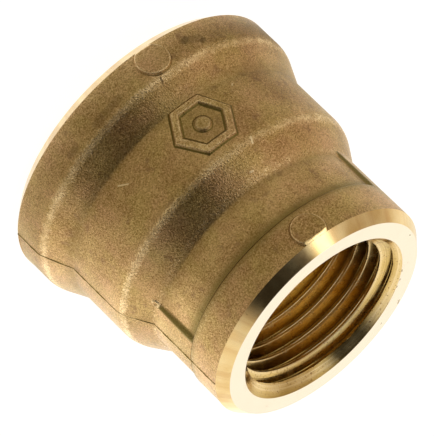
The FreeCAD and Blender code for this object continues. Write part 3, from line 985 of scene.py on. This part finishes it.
def highlit_faces_and_specks(add, place, body):
    """The flat end faces get a paler painted highlight, and the small one has a few specks."""
    upward = add.axis(add("ShaderNodeNewGeometry").outputs["Normal"], "Z")
    # Painted highlight: faces square to the axis are paler.
    body = blended(add, add.ramp(add.size(upward), 0.9, 0.98), body, FACE_HIGHLIGHT)
    for start, end, width in FACE_SPECKS:
        speck = scratched(add, place, (*start, LENGTH), (*end, LENGTH), width)
        body = blended(add, add.times(speck, 0.7), body, FACE_SPECK)
    return body


def turned_brass():
    """Freshly turned brass: tool lines run round the axis, with a few dark specks."""
    material, add, place = new_material("turned_brass")
    spoke = across_axis(add, place)
    across = add.times(add.vector("LENGTH", spoke), 0.8)
    across = add.plus(across, add.times(add.axis(place, "Z"), 0.6))
    lines = add.streaks(across, 14000.0, 2.0)
    bands = add.streaks(across, 2600.0, 1.0)
    smear = add.noise(place, 420.0, detail=3.0)
    specks = add.noise(place, 1500.0, detail=3.0, roughness=0.7)
    stretches = add.noise(add.vector("NORMALIZE", spoke), 9.0, detail=4.0, roughness=0.6)
    body = colours(add, add.swayed(smear, bands, 0.4), TURNED_TONES)
    body = blended(add, add.ramp(stretches, 0.42, 0.66, 0.0, 0.45), body, TURNED_STREAK)
    body = highlit_faces_and_specks(add, place, body)
    body = blended(add, add.ramp(specks, 0.70, 0.74), body, TURNED_SPECK)
    rough = add.ramp(smear, 0.3, 0.7, 0.14, 0.26)
    normal = bumped(add, lines, 0.003, 0.9, bumped(add, bands, 0.010, 0.6))
    surfaced(add, Base_Color=body, Metallic=1.0, Roughness=rough, Normal=normal)
    return material


def thread_brass():
    """Cut thread: painted highlights on the crests, golden brown grooves with the colour paler towards
    the crests, fine lines along the cut.
    """
    material, add, place = new_material("thread_brass")
    lines = add.streaks(attribute(add, "across"), 16000.0, 2.0)
    smear = add.noise(place, 520.0, detail=3.0)
    specks = add.noise(place, 4200.0)
    toward_crest = add.swayed(add.minus(0.8, attribute(add, "root")), lines, 0.9)
    body = colours(add, add.swayed(toward_crest, smear, 0.9), THREAD_TONES)
    body = blended(add, add.ramp(specks, 0.60, 0.72), body, THREAD_SPECK)
    # Painted highlight along the crests.
    body = blended(add, attribute(add, "edge"), body, THREAD_CREST_HIGHLIGHT)
    body = highlit_faces_and_specks(add, place, body)
    rough = add.ramp(smear, 0.3, 0.7, 0.14, 0.30)
    surfaced(add, Base_Color=body, Metallic=1.0, Roughness=rough, Normal=bumped(add, lines, 0.006, 0.8))
    return material


TURNED = turned_tree()
THREADED = thread_tree()
CAST_SKIN = cast_skin_tree()
CAST_BRASS = cast_brass()
TURNED_BRASS = turned_brass()
THREAD_BRASS = thread_brass()

# --- The bands of the casting ---


def cast_band(name, node, start, end, inside):
    """A band of the casting between two heights, with its inside corners from the top down."""
    turned_piece(name, node, outside_between(start, end), inside, CAST_BRASS, 1.0)


def end_ring(name, node, start, end, inside):
    """The machined chamfer from one corner to the other, and the end face inside it."""
    line = stepped([start, end], RING_STEP)
    turned_piece(name, node, line, inside, TURNED_BRASS, 0.0)


end_ring("turned_large_ring", "large_end_ring",
         (LARGE_COLLAR - LARGE_CHAMFER, 0), (LARGE_COLLAR, LARGE_CHAMFER),
         [(LARGE_SLEEVE, LARGE_CHAMFER), (LARGE_SLEEVE, 0)])
cast_band("cast_large_collar", "large_collar", LARGE_CHAMFER, COLLAR_JOINT,
          [(LARGE_SLEEVE, COLLAR_JOINT), (LARGE_SLEEVE, LARGE_CHAMFER)])
cast_band("cast_large_barrel", "large_barrel", COLLAR_JOINT, BARREL_JOINT,
          [(LARGE_RELIEF, BARREL_JOINT), (LARGE_RELIEF, LARGE_THREAD_END),
           (LARGE_SLEEVE, LARGE_THREAD_END), (LARGE_SLEEVE, COLLAR_JOINT)])
cast_band("cast_shoulder", "reducing_shoulder", BARREL_JOINT, SHOULDER_JOINT,
          [(SMALL_SLEEVE, SHOULDER_JOINT), (SMALL_SLEEVE, SMALL_THREAD_END),
           (SMALL_RELIEF, SMALL_THREAD_END), (SMALL_RELIEF, STOP_TOP), (SMALL_SLEEVE, STOP_TOP),
           (SMALL_SLEEVE, TAPER_END), (LARGE_RELIEF, BARREL_JOINT)])
cast_band("cast_small_barrel", "small_barrel", SHOULDER_JOINT, STEP_FOOT,
          [(SMALL_SLEEVE, STEP_FOOT), (SMALL_SLEEVE, SHOULDER_JOINT)])
cast_band("cast_small_collar", "small_collar", STEP_FOOT, SMALL_EDGE,
          [(SMALL_SLEEVE, SMALL_EDGE), (SMALL_SLEEVE, STEP_FOOT)])
end_ring("turned_small_ring", "small_end_ring",
         (SMALL_COLLAR, SMALL_EDGE), (SMALL_COLLAR - SMALL_CHAMFER_WIDTH, LENGTH),
         [(SMALL_SLEEVE, LENGTH), (SMALL_SLEEVE, SMALL_EDGE)])
turned_piece("cast_pipe_stop", "pipe_stop",
             stepped([(SMALL_SLEEVE, TAPER_END), (SMALL_SLEEVE, STOP_TOP)], STOP_STEP),
             [(WATERWAY, STOP_TOP), (WATERWAY, STOP_LIP)], CAST_BRASS, 0.0)


def threaded_sleeve(name, node, mouth_at_top, **sizes):
    """A sleeve with the thread inside; sizes, in millimetres, are the tree's inputs."""
    obj = new_object(name, [(0, 0, 0)])
    inputs = {title: size * MM for title, size in sizes.items()}
    applied(obj, THREADED, Material=THREAD_BRASS, Mouth_At_Top=mouth_at_top, **inputs)
    place_piece(obj, node)


threaded_sleeve("turned_large_thread", "large_end_thread", 0.0, Crest_Radius=LARGE_CREST,
                Groove_Start=LARGE_GROOVE_START, Low_End=0.0, High_End=LARGE_THREAD_END,
                Mouth_Radius=LARGE_MOUTH, Back_Radius=LARGE_SLEEVE)
threaded_sleeve("turned_small_thread", "small_end_thread", 1.0, Crest_Radius=SMALL_CREST,
                Groove_Start=SMALL_GROOVE_START, Low_End=SMALL_THREAD_END, High_End=LENGTH,
                Mouth_Radius=SMALL_MOUTH, Back_Radius=SMALL_SLEEVE)

grip_rib("cast_rib_right", "grip_rib_right", -16.0, True, (1.5, 19.25))
grip_rib("cast_rib_left", "grip_rib_left", -171.0, False, None)
parting_seam("cast_seam_right", "parting_seam_right", 0.0, True)
parting_seam("cast_seam_left", "parting_seam_left", 180.0, False)
ejector_pad("cast_pad_large", "large_collar_pad", LARGE_COLLAR, 3.0)
ejector_pad("cast_pad_small", "small_collar_pad", SMALL_COLLAR, 27.9)
raised_emblem("cast_emblem", "raised_emblem")

# --- Floor, light and camera ---

CAMERA_AIM = Vector((0.534, -0.570, 13.72)) * MM
CAMERA_DISTANCE = 605.8 * MM
CAMERA_AZIMUTH = -67.03
CAMERA_ELEVATION = 25.60
CAMERA_ROLL = -134.26
CAMERA_LENS = 473.8
KEY_LIGHT_DISTANCE = 0.6

# How bright the room's parts are, as the brass mirrors them.
SIDE_LIGHT = 1.0
BACK_LIGHT = 1.1
CEILING_LIGHT = 0.1
BACK_CEILING_LIGHT = 0.7
DARK_SIDE_LIGHT = 0.03
GREY_WALL_LIGHT = 0.5
SEEN_PALE = (0.93, 0.93, 0.93)
WARM_WALL = (1.0, 0.92, 0.80)
TAN_WALL = (1.0, 0.80, 0.58)
WHITE = (1.0, 1.0, 1.0)
BLACK = (0.0, 0.0, 0.0)
FLOOR_GREY = (0.25, 0.25, 0.24)
FLOOR_FRONT = (0.38, 0.34, 0.24)
FLOOR_SIDE = (1.7, 1.65, 1.5)
FLOOR_UNDER = (0.95, 0.93, 0.92)


def direction(azimuth, elevation):
    """The unit vector towards an azimuth from +X and an elevation, in degrees."""
    turn, tilt = radians(azimuth), radians(elevation)
    return Vector((cos(turn) * cos(tilt), sin(turn) * cos(tilt), sin(tilt)))


def side_angle(add, vector):
    """Degrees round the axis from the camera's side, between -180 and 180."""
    across, front = (add.vector("DOT_PRODUCT", vector, tuple(direction(CAMERA_AZIMUTH + turn, 0)))
                     for turn in (90, 0))
    return add.math("DEGREES", add.math("ARCTAN2", across, front))


def camera_sees(add):
    """1 where the camera looks straight at it, 0 where the brass mirrors it."""
    return add("ShaderNodeLightPath").outputs["Is Camera Ray"]


def pale_floor():
    """A plain pale floor that glows: the camera sees it evenly pale, and what the brass mirrors of it
    glows dark in front and bright at the sides.
    """
    corners = [(-2.0, -2.0, 0.0), (2.0, -2.0, 0.0), (2.0, 2.0, 0.0), (-2.0, 2.0, 0.0)]
    mesh = bpy.data.meshes.new("floor")
    mesh.from_pydata(corners, [], [(0, 1, 2, 3)])
    floor = in_scene("floor", mesh)
    material, add, place = new_material("pale_floor")
    aside = side_angle(add, place)
    right = add.ramp(aside, 38.0, 115.0)
    left = add.ramp(aside, -160.0, -70.0, 0.55, 0.0)
    mirrored = blended(add, add.math("MAXIMUM", right, left), FLOOR_FRONT, FLOOR_SIDE)
    away = add.vector("LENGTH", place)
    # Painted shadow in what the brass mirrors: darker near the coupling and again far off, pale just
    # under it.
    mirrored = blended(add, add.ramp(away, 0.022, 0.045, 0.40, 0.0), mirrored, BLACK)
    mirrored = blended(add, add.ramp(away, 0.058, 0.085, 0.0, 0.25), mirrored, BLACK)
    mirrored = blended(add, add.ramp(away, 0.0185, 0.0205, 1.0, 0.0), mirrored, FLOOR_UNDER)
    glow = blended(add, camera_sees(add), mirrored, SEEN_PALE)
    surfaced(add, Base_Color=FLOOR_GREY, Metallic=0.0, Roughness=0.9, Emission_Color=glow,
             Emission_Strength=1.0)
    mesh.materials.append(material)


def studio_world():
    """A pale room: bright walls, a dim ceiling, a grey wall on the left and a dark stretch in
    front. The camera sees it plain and pale."""
    world = bpy.data.worlds.new("studio")
    bpy.context.scene.world = world
    world.use_nodes = True
    world.node_tree.nodes.clear()
    add = Nodes(world.node_tree)
    looking = add("ShaderNodeTexCoord").outputs["Generated"]
    aside = side_angle(add, looking)
    above = add.math("DEGREES", add.math("ARCSINE", add.axis(looking, "Z")))
    behind = add.ramp(add.size(aside), 110.0, 145.0, SIDE_LIGHT, BACK_LIGHT)
    overhead = add.ramp(add.size(aside), 100.0, 145.0, CEILING_LIGHT, BACK_CEILING_LIGHT)
    wall = add.mix(add.ramp(above, 45.0, 76.0), behind, overhead)
    grey = add.times(add.ramp(aside, -80.0, -64.0, 1.0, 0.0), add.ramp(aside, -150.0, -110.0))
    level = add.mix(grey, wall, GREY_WALL_LIGHT)
    leaning = add.plus(aside, add.ramp(above, 25.0, 50.0, 0.0, 22.0))
    dark = add.times(add.ramp(aside, -46.0, -36.0), add.ramp(leaning, 58.0, 92.0, 1.0, 0.0))
    dark = add.times(dark, add.ramp(above, 62.0, 88.0, 1.0, 0.0))
    dark = add.times(dark, add.ramp(above, 4.0, 20.0, 0.85, 1.0))
    level = add.mix(dark, level, DARK_SIDE_LIGHT)
    tint = blended(add, add.ramp(add.size(aside), 150.0, 170.0), WARM_WALL, WHITE)
    tint = blended(add, grey, tint, TAN_WALL)
    seen = camera_sees(add)
    tint = blended(add, seen, tint, SEEN_PALE)
    background = add("ShaderNodeBackground", tint, add.mix(seen, level, 1.0))
    add("ShaderNodeOutputWorld", background.outputs[0])


def key_light():
    """A square soft light on the left of the camera that looks at the coupling."""
    lamp = bpy.data.lights.new("key_light", "AREA")
    lamp.shape = "SQUARE"
    lamp.size = 0.12
    lamp.energy = 0.08
    light = in_scene("key_light", lamp)
    towards = direction(CAMERA_AZIMUTH - 56, 47)
    light.location = towards * KEY_LIGHT_DISTANCE
    light.rotation_mode = "QUATERNION"
    light.rotation_quaternion = towards.to_track_quat("Z", "Y")


def long_lens_camera():
    """A long lens from the small end's side, rolled so that the axis runs down to the right."""
    lens = bpy.data.cameras.new("camera")
    lens.sensor_fit = "HORIZONTAL"
    lens.sensor_width = 36.0
    lens.lens = CAMERA_LENS
    lens.clip_start, lens.clip_end = 0.05, 20.0
    camera = in_scene("camera", lens)
    back = direction(CAMERA_AZIMUTH, CAMERA_ELEVATION)
    camera.location = CAMERA_AIM + back * CAMERA_DISTANCE
    roll = Quaternion((0, 0, 1), -radians(CAMERA_ROLL))
    camera.rotation_mode = "QUATERNION"
    camera.rotation_quaternion = back.to_track_quat("Z", "Y") @ roll
    bpy.context.scene.camera = camera


pale_floor()
studio_world()
key_light()
long_lens_camera()
bpy.context.scene.view_settings.view_transform = "Standard"
